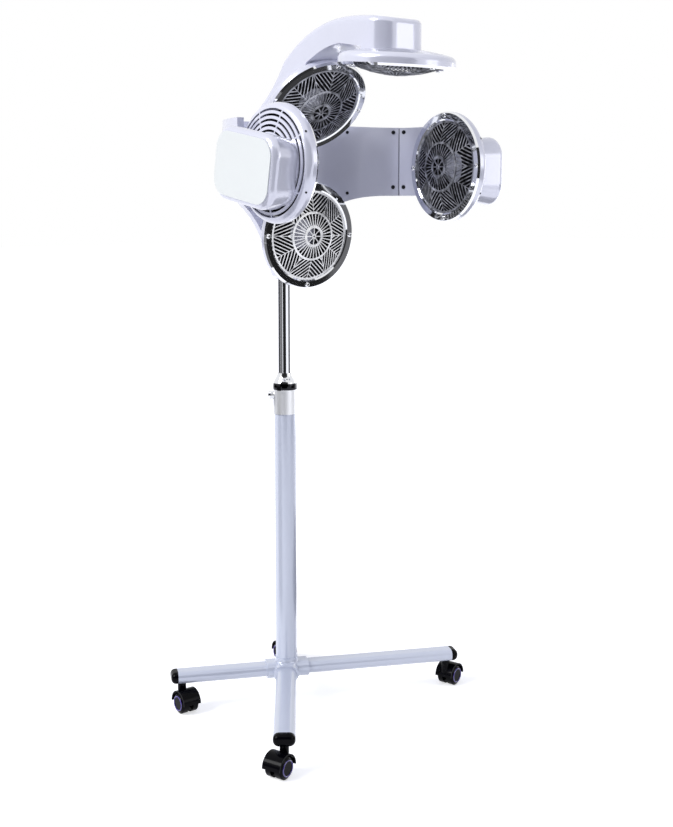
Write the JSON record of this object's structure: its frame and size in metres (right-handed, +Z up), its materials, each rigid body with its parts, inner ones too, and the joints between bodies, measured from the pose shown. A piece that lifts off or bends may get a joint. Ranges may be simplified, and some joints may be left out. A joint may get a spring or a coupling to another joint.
{
  "type": "hair color processor",
  "caption": "Infrared hair processing hood with round lamps on curved arms round the head, on a clamped telescopic post over a wheeled cross base.",
  "frame": {"origin": "on the floor under the axis of the column", "axes": "+Z up along the column; the hood faces -Y and its lamps are the same on both sides of the YZ plane"},
  "size_m": [0.7377, 0.7842, 1.57],
  "materials": {
    "chrome_trim": "polished",
    "reflector": "bright",
    "ceramic": "matte ceramic",
    "shell_white": "satin",
    "panel_gloss": "gloss",
    "board_green": "solder mask",
    "dark_plastic": "satin",
    "wheel_nylon": "satin",
    "steel": "ground",
    "nylon": "matte",
    "chrome_tube": "polished",
    "painted_white": "gloss powder coat"
  },
  "bodies": {
    "base": {"base_hub": "painted_white", "column": "painted_white", "column_bush": "nylon", "clamp_collar": "chrome_tube", "leg_front_left": "painted_white", "leg_front_right": "painted_white", "leg_rear_left": "painted_white", "leg_rear_right": "painted_white", "leg_cap_front_left": "dark_plastic", "leg_cap_front_right": "dark_plastic", "leg_cap_rear_left": "dark_plastic", "leg_cap_rear_right": "dark_plastic"},
    "clamp_lever": {"clamp_lever": "chrome_tube"},
    "post": {"post": "chrome_tube", "post_guide": "nylon"},
    "hood": {"head_shell": "shell_white", "top_dish": "shell_white", "left_hinge_pin": "steel", "right_hinge_pin": "steel", "rear_cover": "dark_plastic", "power_inlet": "dark_plastic", "lower_bezel": "chrome_trim", "lower_grille": "chrome_trim", "lower_reflector": "reflector", "lower_emitter": "ceramic", "upper_bezel": "chrome_trim", "upper_grille": "chrome_trim", "upper_reflector": "reflector", "upper_emitter": "ceramic", "top_bezel": "chrome_trim", "top_grille": "chrome_trim", "top_reflector": "reflector", "top_emitter": "ceramic"},
    "power_rocker": {"power_rocker": "dark_plastic"},
    "left_arm": {"left_side_arm": "shell_white", "left_face_panel": "panel_gloss", "left_dish": "shell_white", "control_board": "board_green", "left_bezel": "chrome_trim", "left_grille": "chrome_trim", "left_reflector": "reflector", "left_emitter": "ceramic"},
    "right_arm": {"right_side_arm": "shell_white", "right_face_panel": "panel_gloss", "right_dish": "shell_white", "right_bezel": "chrome_trim", "right_grille": "chrome_trim", "right_reflector": "reflector", "right_emitter": "ceramic"},
    "caster_front_right": {"caster_frame_front_right": "dark_plastic"},
    "wheels_front_right": {"caster_wheels_front_right": "wheel_nylon"},
    "caster_front_left": {"caster_frame_front_left": "dark_plastic"},
    "wheels_front_left": {"caster_wheels_front_left": "wheel_nylon"},
    "caster_rear_right": {"caster_frame_rear_right": "dark_plastic"},
    "wheels_rear_right": {"caster_wheels_rear_right": "wheel_nylon"},
    "caster_rear_left": {"caster_frame_rear_left": "dark_plastic"},
    "wheels_rear_left": {"caster_wheels_rear_left": "wheel_nylon"}
  },
  "joints": [
    {"name": "post_lift", "type": "slide", "parent": "base", "child": "post", "axis": [0, 0, 1], "range_m": [-0.19, 0.22]},
    {"name": "hood_turn", "type": "hinge", "parent": "post", "child": "hood", "pos_m": [0, 0, 1.1], "axis": [0, 0, 1], "range_deg": [-170, 170]},
    {"name": "clamp_turn", "type": "hinge", "parent": "base", "child": "clamp_lever", "pos_m": [-0.02412, 0.01784, 0.745], "axis": [-0.8039, 0.5948, 0], "range_deg": [-90, 90]},
    {"name": "right_arm_swing", "type": "hinge", "parent": "hood", "child": "right_arm", "pos_m": [0.23512, -0.13328, 1.287], "axis": [0, 0, 1], "range_deg": [0, 25]},
    {"name": "left_arm_swing", "type": "hinge", "parent": "hood", "child": "left_arm", "pos_m": [-0.23512, -0.13328, 1.287], "axis": [0, 0, -1], "range_deg": [0, 25]},
    {"name": "power_rock", "type": "hinge", "parent": "hood", "child": "power_rocker", "pos_m": [0, 0.046, 1.264], "axis": [1, 0, 0], "range_deg": [-8, 8]},
    {"name": "swivel_front_right", "type": "hinge", "parent": "base", "child": "caster_front_right", "pos_m": [0.36922, -0.15901, 0.068], "axis": [0, 0, 1], "continuous": true},
    {"name": "roll_front_right", "type": "hinge", "parent": "caster_front_right", "child": "wheels_front_right", "pos_m": [0.38742, -0.15358, 0.025], "axis": [-0.2857, 0.9583, 0], "continuous": true},
    {"name": "swivel_front_left", "type": "hinge", "parent": "base", "child": "caster_front_left", "pos_m": [-0.23, -0.3297, 0.068], "axis": [0, 0, 1], "continuous": true},
    {"name": "roll_front_left", "type": "hinge", "parent": "caster_front_left", "child": "wheels_front_left", "pos_m": [-0.24786, -0.3362, 0.025], "axis": [0.342, -0.9397, 0], "continuous": true},
    {"name": "swivel_rear_right", "type": "hinge", "parent": "base", "child": "caster_rear_right", "pos_m": [0.14418, 0.20668, 0.068], "axis": [0, 0, 1], "continuous": true},
    {"name": "roll_rear_right", "type": "hinge", "parent": "caster_rear_right", "child": "wheels_rear_right", "pos_m": [0.14633, 0.22556, 0.025], "axis": [-0.9936, 0.1132, 0], "continuous": true},
    {"name": "swivel_rear_left", "type": "hinge", "parent": "base", "child": "caster_rear_left", "pos_m": [-0.23145, 0.09968, 0.068], "axis": [0, 0, 1], "continuous": true},
    {"name": "roll_rear_left", "type": "hinge", "parent": "caster_rear_left", "child": "wheels_rear_left", "pos_m": [-0.23132, 0.08068, 0.025], "axis": [1, 0.007, 0], "continuous": true}
  ]
}
